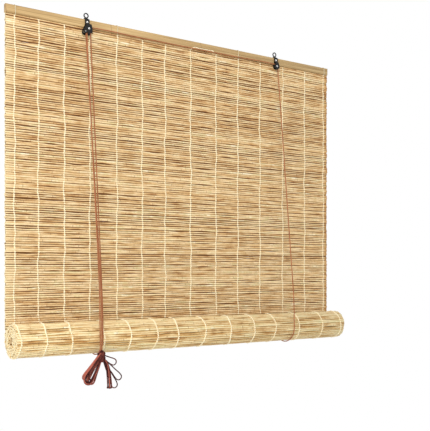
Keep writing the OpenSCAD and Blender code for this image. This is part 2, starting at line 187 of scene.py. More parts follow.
def stretched(nt, vector, x, y, z):
    return add(nt, "VectorMath", {0: vector, 1: (x, y, z)}, operation="MULTIPLY")[0]


def bump(nt, height, strength, distance):
    return add(nt, "Bump", {"Strength": strength, "Distance": distance, "Height": height})[0]


def span(nt, value, a, b, low, high, how="LINEAR"):
    return add(nt, "MapRange", {0: value, 1: a, 2: b, 3: low, 4: high}, interpolation_type=how)[0]


def material(name):
    m = bpy.data.materials.new(name)
    m.use_nodes = True
    nt = m.node_tree
    shader = nt.nodes["Principled BSDF"]
    where = add(nt, "TexCoord")["Object"]
    return m, nt, shader, where


def surface(nt, shader, colour, rough, normal):
    for name, socket in (("Base Color", colour), ("Roughness", rough), ("Normal", normal)):
        nt.links.new(socket, shader.inputs[name])


def looked_at(nt):
    """1 for a ray from the camera, straight or by way of metal or glass."""
    rays = add(nt, "LightPath")
    straight = calc(nt, "MAXIMUM", rays["Is Camera Ray"], rays["Is Glossy Ray"])
    return calc(nt, "MAXIMUM", straight, rays["Is Transmission Ray"])


world = bpy.data.worlds.new("studio")
scene.world = world
world.use_nodes = True
wt = world.node_tree
soft = add(wt, "Background", {0: WHITE, 1: AMBIENT})[0]
white = add(wt, "Background", {0: WHITE, 1: 1.0})[0]
both = add(wt, "MixShader", {0: looked_at(wt), 1: soft, 2: white})[0]
wt.links.new(both, wt.nodes["World Output"].inputs[0])


def lamp(name, at, to, size, power):
    light = bpy.data.lights.new(name, "AREA")
    light.size = size
    light.energy = power
    o = bpy.data.objects.new(name, light)
    scene.collection.objects.link(o)
    o.location = at
    d = np.array(to, float) - np.array(at, float)
    tilt = math.atan2(math.hypot(d[0], d[1]), -d[2])
    o.rotation_euler = (tilt, 0, math.atan2(-d[0], d[1]))
    o.visible_camera = False


lamp("key", (-1.7, -3.1, 1.4), (0, 0, -0.5), 1.6, 84)
lamp("end_fill", (-3.0, -1.0, -0.8), (-0.6, 0, -0.9), 1.2, 26)
lamp("back_fill", (1.6, 3.0, 1.0), (0, 0, -0.5), 2.0, 55)

floor_mesh = bpy.data.meshes.new("floor")
corners = [(x * FLOOR_HALF, y * FLOOR_HALF, FLOOR_Z)
           for x, y in ((-1, -1), (1, -1), (1, 1), (-1, 1))]
floor_mesh.from_pydata(corners, [], [(0, 1, 2, 3)])
floor = bpy.data.objects.new("floor", floor_mesh)
scene.collection.objects.link(floor)
m, nt, shader, where = material("floor")
shader.inputs["Roughness"].default_value = 0.85
pale = ramp(nt, noise(nt, where, 1.5, 4), [(0.3, (238, 238, 236)), (0.7, (243, 243, 241))])
nt.links.new(pale, shader.inputs["Base Color"])
# Away from the object the floor passes into the white of the backdrop
away = add(nt, "VectorMath", {0: stretched(nt, where, 1, 1, 0)}, operation="LENGTH")[1]
share = span(nt, away, 0.8, 3.6, 0.55, 1.0, "SMOOTHSTEP")
share = calc(nt, "MULTIPLY", share, looked_at(nt))
glow = add(nt, "Emission", {0: WHITE, 1: 1.0})[0]
floor_mix = add(nt, "MixShader", {0: share, 1: shader.outputs[0], 2: glow})[0]
nt.links.new(floor_mix, nt.nodes["Material Output"].inputs[0])
floor_mesh.materials.append(m)


# Meshes

class Soup:
    """Tubes gathered into one mesh. Each point has four numbers that its material reads: painted
    shade from 0 to 1, a mark, a cut end or a red tassel cord, and a number that is the same all
    along one reed or cord."""

    def __init__(self):
        self.points, self.tints, self.faces, self.count = [], [], [], 0

    def grid(self, rings, tint, first=False, last=False):
        m, s, _ = rings.shape
        at = self.count + np.arange(m * s).reshape(m, s)
        a, b = at[:-1], at[1:]
        quads = np.stack([a, np.roll(a, -1, 1), np.roll(b, -1, 1), b], -1)
        self.faces += quads.reshape(-1, 4).tolist()
        if first:
            self.faces.append(at[0][::-1].tolist())
        if last:
            self.faces.append(at[-1].tolist())
        self.points.append(rings.reshape(-1, 3))
        self.tints.append(tint.reshape(-1, 4))
        self.count += m * s

    def mesh(self, name):
        me = bpy.data.meshes.new(name)
        me.from_pydata(np.vstack(self.points).tolist(), [], self.faces)
        att = me.attributes.new("tint", "FLOAT_COLOR", "POINT")
        att.data.foreach_set("color", np.vstack(self.tints).astype(np.float32).ravel())
        me.shade_smooth()
        return me


def piece(name, soup, look, body=None, nodes=()):
    me = soup.mesh(name)
    me.materials.append(look)
    o = bpy.data.objects.new(name, me)
    scene.collection.objects.link(o)
    if body:
        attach(o, body)
    if nodes:
        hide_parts(*nodes)
    return o


def wave(s, size, lengths):
    """A smooth random line over s, about size high, made of a few waves."""
    return sum(size * w * np.sin(2 * np.pi * (s / l + rng.random()))
               for w, l in zip((0.6, 0.5, 0.3), lengths))


def bulge(xs, mid, half, height):
    """A hump round mid, cut off at 1."""
    return np.clip(height - height * ((xs - mid) / half) ** 2, 0, 1)


def reed(soup, xs, ys, zs, rr, sides, seed, marks=None, out=None, dark=1.0, gap=0.0):
    """One reed along X. out is the way out of the roll, and dark the shade of its inner side;
    in a flat mat, without them, both faces look out."""
    turn = 2 * np.pi * np.arange(sides) / sides
    cy, cz = np.cos(turn), np.sin(turn)
    n = len(xs)
    rings = np.empty((n, sides, 3))
    rings[..., 0] = xs[:, None]
    rings[..., 1] = ys[:, None] + rr[:, None] * cy
    rings[..., 2] = zs[:, None] + rr[:, None] * cz
    gap = np.reshape(gap, (-1, 1))
    if out is None:
        # Painted shade: in a flat mat each reed is darkened where it meets the next, a little on
        # top and more underneath, most where a gap opens
        side = 1 - np.abs(cy) ** 3
        shade = 1 - side * np.where(cz < -0.01, UNDER_SHADE + GAP_SHADE * gap, TOP_SHADE)
        edge = np.clip((xs - DARK_FROM) / DARK_OVER, 0, 1)
        shade = shade * (1 - DARK_SHARE * edge)[:, None]
    else:
        # Painted shade: a roll reed is darkened on the side turned into the roll, and in the
        # crease where a gap opens
        face = np.clip(cy * out[0] + cz * out[1], 0, 1) ** 0.8
        under = (cz * out[0] - cy * out[1]) < -0.01
        shade = (dark + (1 - dark) * face) * np.where(under, 1 - ROLL_GAP_SHADE * gap, 1.0)
    tint = np.zeros((n, sides, 4))
    tint[..., 0] = shade
    tint[..., 1] = 0 if marks is None else marks[:, None]
    tint[..., 2] = PALE_SHARE * np.clip((-xs - PALE_FROM) / PALE_OVER, 0, 1)[:, None]
    tint[..., 3] = seed
    soup.grid(rings, tint)
    for k, step in ((0, -1), (-1, 1)):
        ring = rings[k][::step]
        mid = np.array([xs[k], ys[k], zs[k]])
        inner = mid + BORE * (ring - mid)
        deep = inner - np.array([step * BORE_DEPTH, 0, 0])
        cut = np.zeros((2, sides, 4))
        cut[..., 0], cut[..., 2], cut[..., 3] = 1, 1, seed
        soup.grid(np.stack([ring, inner]), cut)
        # Painted shade: the hollow in the cut end darkens towards its bottom
        hole = np.zeros((2, sides, 4))
        hole[0, :, 0], hole[1, :, 0], hole[..., 2], hole[..., 3] = 0.5, 0.2, 0.6, seed
        soup.grid(np.stack([inner, deep]), hole, last=True)


def reed_line(rings, r, bow, lean):
    """Places along one reed of the mat: its x, its small strays up and out, its radius, its
    joints, and the gap under it."""
    ends = (-MAT_W / 2 + rng.normal(0.001, 0.0008), MAT_W / 2 + rng.normal(-0.001, 0.0008))
    xs = np.linspace(*ends, rings)
    joints = []
    x = ends[0] + rng.uniform(*FIRST_JOINT)
    while x < ends[1] - LAST_JOINT:
        joints.append(x)
        x += rng.uniform(*NEXT_JOINT)
    near = np.array([j + d for j in joints for d in (-JOINT_RING, 0, JOINT_RING)])
    xs = np.sort(np.concatenate([xs, near]))
    bay = np.clip(np.searchsorted(THREADS, xs) - 1, 0, BAYS - 1)
    left, right = THREADS[bay], THREADS[bay + 1]
    t = np.clip((xs - left) / (right - left), 0, 1)
    between = np.sin(np.pi * t) ** 2
    up = rng.normal(0, bow, BAYS)[bay] * between + wave(xs, 0.00012, (0.5, 0.21, 0.09))
    away = rng.normal(0, lean, BAYS)[bay] * between
    thick = r * (1 + rng.uniform(-0.09, 0.09) * xs / 0.6 + wave(xs, 0.03, (0.31, 0.12, 0.05)))
    gap = np.zeros(len(xs))
    for b in range(BAYS):
        wide = THREADS[b + 1] - THREADS[b]
        size = rng.uniform(0.55, 1.0) if rng.random() < GAP_CHANCE else rng.uniform(0, 0.2)
        mid, half = THREADS[b] + wide * rng.uniform(0.1, 0.9), wide * rng.uniform(0.22, 0.75)
        gap = np.maximum(gap, size * bulge(xs, mid, half, 1.2))
    if rng.random() < LONG_GAP_CHANCE:
        mid, half = rng.uniform(-0.6, 0.6), rng.uniform(0.10, 0.32)
        gap = np.maximum(gap, bulge(xs, mid, half, 1.3))
    thick = thick * (1 - GAP_THINS * gap)
    marks = np.zeros(len(xs))
    for j in joints:
        at = np.abs(xs - j) < JOINT_NEAR
        thick = thick * (1 + JOINT_SWELL * at)
        marks = np.maximum(marks, at)
    return xs, up, away, thick, marks, gap


def curve(points, step):
    """Points step apart on a smooth curve through the given ones, and the curve's length."""
    p = np.array(points, float)
    h = np.linalg.norm(np.diff(p, axis=0), axis=1)
    g = np.diff(p, axis=0) / h[:, None]
    inner = (g[:-1] * h[1:, None] + g[1:] * h[:-1, None]) / (h[1:] + h[:-1])[:, None]
    m = np.vstack([g[:1], inner, g[-1:]])
    t = np.linspace(0, 1, 24, endpoint=False)[:, None]
    line = [p[i] * (2 * t**3 - 3 * t**2 + 1) + m[i] * h[i] * (t**3 - 2 * t**2 + t)
            + p[i + 1] * (3 * t**2 - 2 * t**3) + m[i + 1] * h[i] * (t**3 - t**2)
            for i in range(len(h))]
    line = np.vstack([*line, p[-1:]])
    s = along(line)
    at = np.linspace(0, s[-1], max(2, int(round(s[-1] / step)) + 1))
    return np.stack([np.interp(at, s, line[:, k]) for k in range(3)], 1), s[-1]


def along(line):
    """How far along a line each of its points lies."""
    return np.concatenate([[0], np.cumsum(np.linalg.norm(np.diff(line, axis=0), axis=1))])


def heading(line):
    t = np.gradient(line, axis=0)
    return t / np.linalg.norm(t, axis=1)[:, None]


def frames(line):
    """Two directions across a line at each of its points, carried along without a twist."""
    t = heading(line)
    e = np.empty_like(t)
    v = np.array([1.0, 0, 0]) if abs(t[0][0]) < 0.8 else np.array([0, 1.0, 0])
    for i, d in enumerate(t):
        v = v - d * (v @ d)
        v = v / np.linalg.norm(v)
        e[i] = v
    return e, np.cross(t, e)


def rope(soup, line, d=CORD_D, seed=0.5, red=0.0):
    """A cord of three laid strands along a line of points. red is 1 on the red tassel."""
    e, f = frames(line)
    s = along(line)
    k = np.arange(6)
    ridge = k % 2 == 0
    a = 2 * np.pi * (k / 6 + s[:, None] / CORD_LAY)
    r = d / 2 * np.where(ridge, STRAND_RIDGE, 1.0)
    across = e[:, None] * np.cos(a)[..., None] + f[:, None] * np.sin(a)[..., None]
    tint = np.zeros((len(line), 6, 4))
    # Painted shade in the grooves between the strands, deeper on the red tassel
    tint[..., 0] = np.where(ridge, 1.0, 0.45 - 0.25 * red)
    tint[..., 1] = (s / DRIFT_LENGTH)[:, None]
    tint[..., 2] = red
    tint[..., 3] = seed
    soup.grid(line[:, None] + r[None, :, None] * across, tint, True, True)


def ribbon(soup, line, wide, thick, seed, shade=1.0):
    """A flattened thread whose width runs along X."""
    t = heading(line)
    e = np.array([1.0, 0, 0]) - t * t[:, :1]
    e /= np.linalg.norm(e, axis=1)[:, None]
    f = np.cross(t, e)
    a = 2 * np.pi * np.arange(6)[:, None] / 6
    rings = line[:, None] + wide / 2 * e[:, None] * np.cos(a) + thick / 2 * f[:, None] * np.sin(a)
    tint = np.zeros((len(line), 6, 4))
    tint[..., 0] = shade
    tint[..., 3] = seed
    soup.grid(rings, tint, True, True)


def twine(soup, x, centres, outs, radii, before=None, after=None):
    """Two threads that cross between the reeds, one in front of each reed and one behind it.
    before and after are where they cross beyond the first reed and the last."""
    n = len(centres)
    for first in (0, 1):
        pts = []
        for k in range(n):
            side = 1 if (k + first) % 2 == 0 else -1
            p = centres[k] + side * outs[k] * (radii[k] + YARN_OFF)
            pts.append((x[k] + YARN_BESIDE * (1 if first else -1), *p))
            if k < n - 1:
                m = (centres[k] + centres[k + 1]) / 2
                pts.append(((x[k] + x[k + 1]) / 2 + YARN_CROSS * side, *m))
        if before:
            pts.insert(0, (x[0], *before))
        if after:
            pts.append((x[-1], *after))
        p = np.array(pts)
        line = np.empty((2 * len(p) - 1, 3))
        line[0::2] = p
        line[1::2] = (p[1:] + p[:-1]) / 2
        ribbon(soup, line, YARN_W, YARN_T, rng.random())


def trefoil(count, depth):
    """A closed overhand knot: its width, its height and its depth at count points."""
    t = np.linspace(0, 2 * np.pi, count)
    return np.sin(t) + 2 * np.sin(2 * t), np.cos(t) - 2 * np.cos(2 * t), -depth * np.sin(3 * t)


# Materials

def reed_look(name, stops, far_end=1.0):
    """Reed. far_end is the share of light that is left at the right end."""
    m, nt, shader, where = material(name)
    tint = add(nt, "Attribute", attribute_name="tint")
    marks = add(nt, "SeparateColor", {0: tint["Color"]})
    seed = tint["Alpha"]
    xyz = add(nt, "SeparateXYZ", {0: where})
    place = add(nt, "CombineXYZ", {0: calc(nt, "MULTIPLY", xyz[0], 19.0),
                                   1: calc(nt, "MULTIPLY", seed, 83.0),
                                   2: calc(nt, "MULTIPLY", seed, 41.0)})[0]
    patch = noise(nt, place, 1.0, 3.0, 0.6)
    own = calc(nt, "FRACT", calc(nt, "MULTIPLY", seed, 7.31))
    tone = calc(nt, "ADD", patch, calc(nt, "MULTIPLY_ADD", own, 0.22, -0.11))
    colour = ramp(nt, tone, stops)
    fibres = noise(nt, stretched(nt, where, 30, 1500, 1500), 1.0, 3.0, 0.6)
    colour = times(nt, colour, span(nt, fibres, 0.3, 0.7, 0.84, 1.1))
    specks = noise(nt, stretched(nt, where, 160, 420, 420), 1.0, 2.0, 0.5)
    specked = span(nt, specks, 0.66, 0.76, 0.0, 0.6)
    colour = blend_colour(nt, specked, colour, rgba((128, 88, 48)))
    jointed = calc(nt, "MULTIPLY", marks[1], 0.62)
    colour = blend_colour(nt, jointed, colour, rgba((146, 94, 52)))
    pith = ramp(nt, noise(nt, where, 900, 2.0), [(0.3, (234, 208, 150)), (0.6, (255, 243, 204))])
    colour = blend_colour(nt, marks[2], colour, pith)
    # Painted shade: the shade number turns the colour towards a warm dark brown in the creases
    # between reeds
    deep = ramp(nt, marks[0], [(0.0, (40, 24, 8)), (0.35, (134, 94, 52)), (0.7, (222, 194, 154)),
                               (1.0, (255, 255, 255))])
    colour = times(nt, colour, deep)
    colour = times(nt, colour, span(nt, xyz[0], -0.3, 0.6, 1.0, far_end))
    matt = span(nt, fibres, 0.3, 0.7, 0.42, 0.62)
    surface(nt, shader, colour, matt, bump(nt, fibres, 0.35, 0.0004))
    shader.inputs["Specular IOR Level"].default_value = 0.35
    return m


MAT_LOOK = reed_look("reed_mat", [
    (0.20, (180, 137, 88)), (0.30, (209, 170, 117)), (0.40, (225, 192, 140)),
    (0.51, (236, 209, 162)), (0.59, (244, 222, 178)), (0.66, (231, 212, 159)),
    (0.75, (254, 242, 208))])
ROLL_LOOK = reed_look("reed_roll", [
    (0.22, (192, 153, 100)), (0.32, (224, 190, 135)), (0.42, (240, 214, 161)),
    (0.51, (249, 229, 180)), (0.60, (252, 236, 189)), (0.68, (240, 226, 172)),
    (0.76, (255, 248, 216))], 0.83)


def yarn_look(name, dark, pale, rough, groove, dyed=None):
    """Thread or cord. groove is the painted shade between its strands. The last argument holds
    the tassel's colours: a deep red, whose pale salmon end stands for painted highlights.
    """
    m, nt, shader, where = material(name)
    tint = add(nt, "Attribute", attribute_name="tint")
    marks = add(nt, "SeparateColor", {0: tint["Color"]})
    fuzz = noise(nt, where, 1400, 3.0, 0.6)
    place = add(nt, "CombineXYZ", {0: marks[1], 1: calc(nt, "MULTIPLY", tint["Alpha"], 57.0)})[0]
    slow = noise(nt, place, 1.6, 2.0)
    mixed = calc(nt, "MULTIPLY_ADD", fuzz, 0.5, calc(nt, "MULTIPLY", slow, 0.5))
    colour = ramp(nt, mixed, [(0.34, dark), (0.66, pale)])
    if dyed:
        # Each tassel cord's own tone: partly its own colour, partly painted highlights on some
        # cords and painted shade on others
        own = calc(nt, "FRACT", calc(nt, "MULTIPLY", tint["Alpha"], TONE_STEP))
        mixed = calc(nt, "ADD", mixed, calc(nt, "MULTIPLY_ADD", own, 0.5, -0.28))
        dye = ramp(nt, mixed, [(0.36, dyed[0]), (0.64, dyed[1])])
        colour = blend_colour(nt, marks[2], colour, dye)
    colour = times(nt, colour, span(nt, marks[0], 0.0, 1.0, groove, 1.0))
    matt = span(nt, fuzz, 0.3, 0.7, rough - 0.08, rough + 0.08)
    surface(nt, shader, colour, matt, bump(nt, fuzz, 0.5, 0.0003))
    shader.inputs["Sheen Weight"].default_value = 0.04
    shader.inputs["Specular IOR Level"].default_value = 0.2
    return m


THREAD_LOOK = yarn_look("cotton_thread", (242, 222, 178), (255, 244, 212), 0.8, 0.6)
CORD_LOOK = yarn_look("laid_cord", (150, 82, 48), (208, 138, 92), 0.62, 0.22,
                      ((76, 18, 16), (212, 118, 98)))


def batten_look():
    m, nt, shader, where = material("bamboo_batten")
    grain = noise(nt, stretched(nt, where, 5, 700, 420), 1.0, 4.0, 0.6)
    broad = noise(nt, stretched(nt, where, 2.2, 40, 60), 1.0, 3.0, 0.5)
    mixed = calc(nt, "MULTIPLY_ADD", grain, 0.6, calc(nt, "MULTIPLY", broad, 0.4))
    colour = ramp(nt, mixed, [(0.36, (158, 126, 78)), (0.46, (190, 157, 105)),
                              (0.56, (206, 174, 121)), (0.66, (222, 193, 142))])
    xyz = add(nt, "SeparateXYZ", {0: where})
    lean = calc(nt, "MULTIPLY_ADD", xyz[2], 0.16, xyz[0])
    along_cane = calc(nt, "FRACT", calc(nt, "MULTIPLY_ADD", lean, 3.1, 0.37))
    off_node = calc(nt, "ABSOLUTE", calc(nt, "SUBTRACT", along_cane, 0.5))
    node = span(nt, off_node, 0.0, 0.006, 1.0, 0.0)
    colour = blend_colour(nt, calc(nt, "MULTIPLY", node, 0.5), colour, rgba((128, 92, 50)))
    # Painted shade: the batten darkens towards its right end, where less light falls, as the
    # reeds do
    colour = times(nt, colour, span(nt, xyz[0], -0.3, 0.6, 1.0, 0.74))
    height = calc(nt, "MULTIPLY_ADD", node, 0.9, calc(nt, "MULTIPLY", grain, 0.4))
    matt = span(nt, grain, 0.3, 0.7, 0.46, 0.64)
    surface(nt, shader, colour, matt, bump(nt, height, 0.35, 0.0006))
    return m


def metal_look(name, dark, pale, low, high, metallic, scale, stretch=(1, 1, 1)):
    m, nt, shader, where = material(name)
    fine = noise(nt, stretched(nt, where, *stretch), scale, 4.0, 0.6)
    colour = ramp(nt, fine, [(0.35, dark), (0.65, pale)])
    surface(nt, shader, colour, span(nt, fine, 0.3, 0.7, low, high), bump(nt, fine, 0.12, 0.0002))
    shader.inputs["Metallic"].default_value = metallic
    return m


BATTEN_LOOK = batten_look()
ENAMEL = metal_look("black_enamel", (9, 9, 8), (22, 21, 20), 0.34, 0.52, 0.0, 900)
ENAMEL.node_tree.nodes["Principled BSDF"].inputs["Specular IOR Level"].default_value = 0.3
NYLON = metal_look("wheel_nylon", (28, 26, 24), (44, 41, 38), 0.42, 0.56, 0.0, 700)
STEEL = metal_look("bright_steel", (176, 174, 170), (222, 220, 216), 0.20, 0.36, 1.0, 500,
                   (1, 3, 1))

MERGE, EDGE_WIDTH = 1e-6, 0.0003
SHARP_ANGLE, BEVEL_ANGLE = math.radians(50), math.radians(40)


def smooth_rounds():
    """Geometry nodes that shade round faces smooth and keep the edges between flat ones."""
    g = bpy.data.node_groups.new("smooth_rounds", "GeometryNodeTree")
    g.interface.new_socket("Geometry", in_out="INPUT", socket_type="NodeSocketGeometry")
    g.interface.new_socket("Geometry", in_out="OUTPUT", socket_type="NodeSocketGeometry")
    kinds = ("NodeGroupInput", "GeometryNodeMergeByDistance", "GeometryNodeSetShadeSmooth",
             "GeometryNodeSetShadeSmooth", "NodeGroupOutput")
    chain = [g.nodes.new(k) for k in kinds]
    for a, b in zip(chain, chain[1:]):
        g.links.new(a.outputs["Geometry"], b.inputs["Geometry"])
    _, merge, _, edges, _ = chain
    merge.inputs["Distance"].default_value = MERGE
    edges.domain = "EDGE"
    edges.inputs["Shade Smooth"].default_value = False
    angle = g.nodes.new("GeometryNodeInputMeshEdgeAngle")
    sharp = g.nodes.new("FunctionNodeCompare")
    g.links.new(angle.outputs[0], sharp.inputs[0])
    sharp.inputs[1].default_value = SHARP_ANGLE
    g.links.new(sharp.outputs[0], edges.inputs["Selection"])
    return g


ROUNDS = smooth_rounds()

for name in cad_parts:
    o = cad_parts[name]
    look = ENAMEL
    if name in ("head_batten", "bottom_dowel"):
        look = BATTEN_LOOK
    elif name.endswith("wheel"):
        look = NYLON
    elif name.endswith(("axle", "screw", "staple")) or name == "brake_roller":
        look = STEEL
    if not o.material_slots:
        o.data.materials.append(look)
    for s in o.material_slots:
        s.material = look
    if look in (ENAMEL, BATTEN_LOOK):
        b = o.modifiers.new("edge", "BEVEL")
        b.width = EDGE_WIDTH
        b.segments = 2
        b.limit_method = "ANGLE"
        b.angle_limit = BEVEL_ANGLE
    o.modifiers.new("rounds", "NODES").node_group = ROUNDS


# Cords: the pull cords and their knot first

def over_roll(y, z, keep, r):
    """Depths and heights on a strand from the lock to the roll's front. keep is the share of its
    height that is left when the roll is up, and then it lies round the roll at radius r."""
    c = np.array([SLING_Y, ROLL_Z + TRAVEL])
    p = np.array([y, z])
    touch = math.atan2(p[1] - c[1], p[0] - c[0]) + math.acos(r / np.linalg.norm(p - c))
    ring = [c + r * np.array([math.cos(t), math.sin(t)]) for t in np.linspace(touch, math.pi, 5)]
    line = [*(p + (ring[0] - p) * t for t in (0, 0.1, 0.3, 0.5, 0.75)), *ring]
    return [(q[0], z + (q[1] - z) / keep) for q in line]


def pull_cord(side, y, low_x, seed):
    keep = 1 - TRAVEL / (PULL_TOP - PULL_SPLIT)
    down = [*over_roll(y, PULL_TOP, keep, SLING_R + 0.0014), *FOOT]
    route = [(PULL_X + (low_x - PULL_X) * min(1.0, (PULL_TOP - z) / PULL_DRIFT), d, z)
             for d, z in down]
    line, _ = curve(route, CORD_STEP)
    z = line[:, 2]
    upper, lower = line[z >= PULL_SPLIT], line[z <= LOWER_TOP]
    middle = line[(z <= MIDDLE_TOP) & (z >= MIDDLE_LOW)]
    tubes = []
    for name, part in (("upper", upper), ("middle", middle), ("lower", lower)):
        s = Soup()
        rope(s, part, seed=seed)
        node = side + "_pull_cord"
        body = "headrail" if name == "upper" else None
        tubes.append(piece(f"{node}_{name}", s, CORD_LOOK, body, (node,)))
    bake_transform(tubes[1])
    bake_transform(tubes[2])
    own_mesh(tubes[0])
    length = float(np.linalg.norm(np.diff(upper, axis=0), axis=1).sum())
    return tubes, upper, length


def tied_knot():
    """Level wraps round a core, small loops on top, and turns that lie across on both slants."""
    s = Soup()
    wraps = 6
    turns = np.linspace(0, wraps * 2 * np.pi, wraps * 24)
    rise = turns / turns[-1]
    r = 0.0082 - 0.0012 * rise + wave(turns, 0.0002, (9, 5, 3))
    height = KNOT[2] - 0.0095 + 0.0190 * rise + 0.0012 * np.cos(turns)
    wrap = np.stack([KNOT[0] + r * np.cos(turns), KNOT[1] + r * np.sin(turns), height], 1)
    rope(s, wrap, seed=4.3 / TONE_STEP, red=1.0)

    loops = 7
    r = np.array([0.0064, 0.0054, 0.0044, 0.0054, 0.0064])
    for k in range(loops):
        a = 2 * np.pi * (k / loops + np.linspace(-0.09, 0.09, 5)) + 0.3
        h = np.array([0.004, 0.014, 0.0215 + 0.002 * (k % 2), 0.014, 0.004])
        loop = np.stack([KNOT[0] + r * np.cos(a), KNOT[1] + r * np.sin(a), KNOT[2] + h], 1)
        rope(s, curve(loop, FINE_STEP)[0], seed=rng.random(), red=1.0)

    rings, sides = 12, 16
    rise = np.linspace(0, 1, rings)
    core = np.stack([np.full(rings, KNOT[0]), np.full(rings, KNOT[1]),
                     KNOT[2] - 0.0110 + 0.0220 * rise], 1)
    e, f = frames(core)
    a = 2 * np.pi * np.arange(sides)[:, None] / sides
    r = (0.0078 - 0.0024 * rise) * np.sqrt(np.clip(1 - np.abs(2 * rise - 1) ** 6 * 0.7, 0, 1))
    # Painted shade: the core inside the knot is darkened, as it lies in shade under the wraps
    shade = np.zeros((rings, sides, 4))
    shade[..., 0], shade[..., 2], shade[..., 3] = 0.4, 1.0, 0.5
    across = e[:, None] * np.cos(a) + f[:, None] * np.sin(a)
    s.grid(core[:, None] + r[:, None, None] * across, shade, True, True)

    # Lean, half length, half depth, places beside each other, tone
    slants = ((0.58, 0.0160, 0.0082, (-0.0066, -0.0034, 0, 0.0034), 0.30),
              (-0.62, 0.0135, 0.0066, (-0.0030, 0.0002, 0.0034, 0.0066), 0.14))
    t = np.linspace(0, 2 * np.pi, 60)
    for lean, half, deep, places, tone in slants:
        for k, off in enumerate(places):
            u = half * math.sqrt(1 - (off / 0.011) ** 2) * np.cos(t)
            turn = np.stack([u * math.sin(lean) + off * math.cos(lean), deep * np.sin(t),
                             u * math.cos(lean) - off * math.sin(lean) + 0.0045], 1)
            rope(s, KNOT + turn, seed=(k + tone + 0.16 * (k % 2)) / TONE_STEP, red=1.0)
    return piece("tied_knot", s, CORD_LOOK, "pull_bundle", ("pull_knot",))


pulls = [pull_cord("front", -0.0175, -0.360, FRONT_SEED),
         pull_cord("rear", -0.0115, -0.355, REAR_SEED)]
knot = tied_knot()


def loop_path(start, end, at, r, y):
    """Down from the knot, round a fold of radius r, and back up beside itself."""
    c = np.array(at)
    a, b = np.array(start), np.array(end)

    def touch(p, s):
        v = p - c
        return math.atan2(v[1], v[0]) + s * math.acos(min(1.0, r / np.linalg.norm(v)))

    t0, t1 = touch(a, -1), touch(b, 1)
    while t1 > t0:
        t1 -= 2 * math.pi
    fold = [c + r * np.array([math.cos(t), math.sin(t)]) for t in np.linspace(t0, t1, 9)]
    flat = [a, (2 * a + fold[0]) / 3, (a + 2 * fold[0]) / 3, *fold,
            (2 * fold[-1] + b) / 3, (fold[-1] + 2 * b) / 3, b]
    n = len(flat)
    ys = [y[0] + (y[1] - y[0]) * math.sin(math.pi * i / (n - 1)) for i in range(n)]
    return [(p[0], h, p[1]) for p, h in zip(flat, ys)]


def tassel(name, points, tone, nodes):
    line, length = curve(points, CORD_STEP)
    s = Soup()
    rope(s, line, seed=(int(rng.integers(9)) + tone) / TONE_STEP, red=1.0)
    o = piece(name, s, CORD_LOOK, "pull_bundle", nodes)


# The bow: layers of loops that lie inside, beside and across each other. Each has its two ends
# and the middle of its fold as (x, z), the fold's radius, and y at the ends and at the fold
BOW = [((-.3610, -.9830), (-.3590, -1.0040), (-.3985, -1.0525), .0143, (-.1075, -.1090)),
       ((-.3600, -.9868), (-.3580, -1.0004), (-.3985, -1.0525), .0102, (-.1075, -.1090)),
       ((-.3612, -.9845), (-.3592, -.9950), (-.4025, -1.0470), .0093, (-.1045, -.1040)),
       ((-.3600, -.9930), (-.3580, -1.0042), (-.3890, -1.0590), .0095, (-.1050, -.1062)),
       ((-.3612, -.9842), (-.3588, -1.0035), (-.3955, -1.0560), .0138, (-.1012, -.1008)),
       ((-.3602, -.9880), (-.3580, -.9998), (-.3955, -1.0560), .0098, (-.1012, -.1008)),
       ((-.3606, -.9890), (-.3586, -1.0010), (-.3925, -1.0555), .0092, (-.1030, -.1026)),
       ((-.3612, -.9835), (-.3596, -.9940), (-.4055, -1.0472), .0092, (-.1028, -.1022)),
       ((-.3604, -.9880), (-.3584, -.9990), (-.4010, -1.0508), .0092, (-.1092, -.1108)),
       ((-.3600, -.9900), (-.3582, -1.0005), (-.3832, -1.0490), .0092, (-.1008, -.0998)),
       ((-.3604, -.9885), (-.3586, -.9995), (-.3890, -1.0462), .0092, (-.1060, -.1064)),
       ((-.3602, -.9890), (-.3584, -1.0000), (-.3905, -1.0475), .0092, (-.0992, -.0980)),
       ((-.3610, -.9850), (-.3592, -.9955), (-.3995, -1.0500), .0092, (-.0980, -.0968)),
       ((-.3600, -.9935), (-.3582, -1.0040), (-.3865, -1.0600), .0094, (-.0985, -.0985))]
# Loops that stand open at the right
OPEN = [((-.3530, -.9990), (-.3515, -.9880), (-.3165, -1.0110), .0092, (-.0985, -.0975)),
        ((-.3535, -1.0035), (-.3515, -.9975), (-.3055, -1.0530), .0092, (-.1070, -.1085)),
        ((-.3500, -1.0045), (-.3480, -1.0000), (-.3135, -1.0765), .0092, (-.0995, -.0980))]
# Tones of the bow loops, partly the cords' own colour and partly painted light: the inner loop of
# each nest is darkened as painted shade, and the palest loops stand for painted highlights
BOW_TONES = (0.74, 0.22, 0.90, 0.52, 0.40, 0.12, 0.82)
TAIL_TONES = (0.30, 0.12, 0.22, 0.56, 0.16, 0.70)
for kind, loops, tones, node in (("bow", BOW, BOW_TONES, "bow_loops"),
                                 ("open", OPEN, TAIL_TONES, "tail_loops")):
    for k, (a, b, at, r, y) in enumerate(loops):
        tassel(f"{kind}_loop_{k + 1}", loop_path(b, a, at, r, y), tones[k % len(tones)], (node,))

# Tails beside them, each with a knot in its end: x at the top and at the foot, y, and the height
# of the foot
TAILS = [(-.3508, -.3385, -.1052, -1.0822), (-.3496, -.3322, -.1015, -1.0835),
         (-.3484, -.3275, -.1050, -1.0828), (-.3474, -.3238, -.1010, -1.0815),
         (-.3502, -.3350, -.0985, -1.0818), (-.3480, -.3335, -.1082, -1.0830)]
